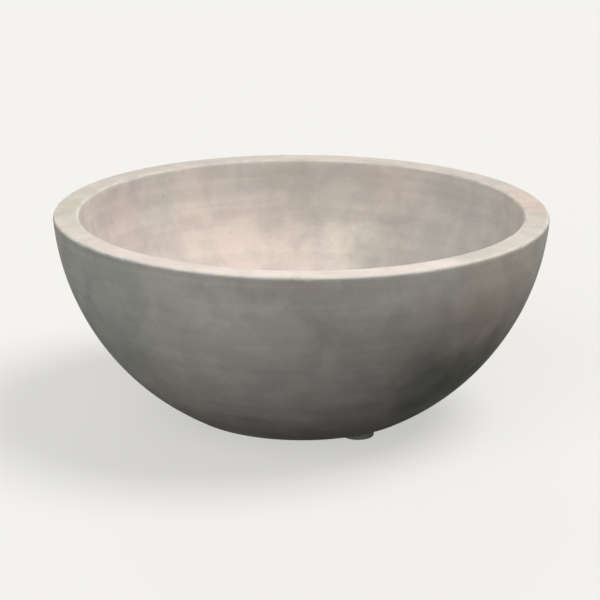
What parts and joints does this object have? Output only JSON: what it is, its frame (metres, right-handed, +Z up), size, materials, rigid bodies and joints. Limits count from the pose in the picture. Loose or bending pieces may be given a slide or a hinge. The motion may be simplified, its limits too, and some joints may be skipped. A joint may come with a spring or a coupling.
{
  "type": "concrete bowl planter",
  "caption": "Shallow round concrete planter bowl with a thick flat rim, a plugged drain with a pipe socket, and rubber feet.",
  "frame": {"origin": "on the bowl's axis, on the ground under the feet", "axes": "+Z up along the bowl's axis, out of its mouth; the picture looks along +Y with +X to the right"},
  "size_m": [0.6094, 0.6092, 0.2575],
  "materials": {
    "concrete": "cast concrete, smooth from the mould, unsealed",
    "galvanised_wire": "dull hot-dip galvanised wire",
    "pipe_plastic": "moulded pipe plastic",
    "stainless_sheet": "punched stainless sheet",
    "stopper_rubber": "matte moulded rubber",
    "foot_rubber": "matte moulded grey rubber"
  },
  "bodies": {
    "planter": {"bowl_shell": "concrete", "rim_hoop": "galvanised_wire", "wall_hoop": "galvanised_wire", "base_hoop": "galvanised_wire", "rib_wires": "galvanised_wire", "drain_coupling": "pipe_plastic", "drain_strainer": "stainless_sheet", "foot_pad_1": "foot_rubber", "foot_pad_2": "foot_rubber", "foot_pad_3": "foot_rubber"},
    "stopper": {"drain_stopper": "stopper_rubber"}
  },
  "joints": [
    {"name": "stopper_lift", "type": "slide", "parent": "planter", "child": "stopper", "axis": [0, 0, 1], "range_m": [0, 0.24]}
  ]
}
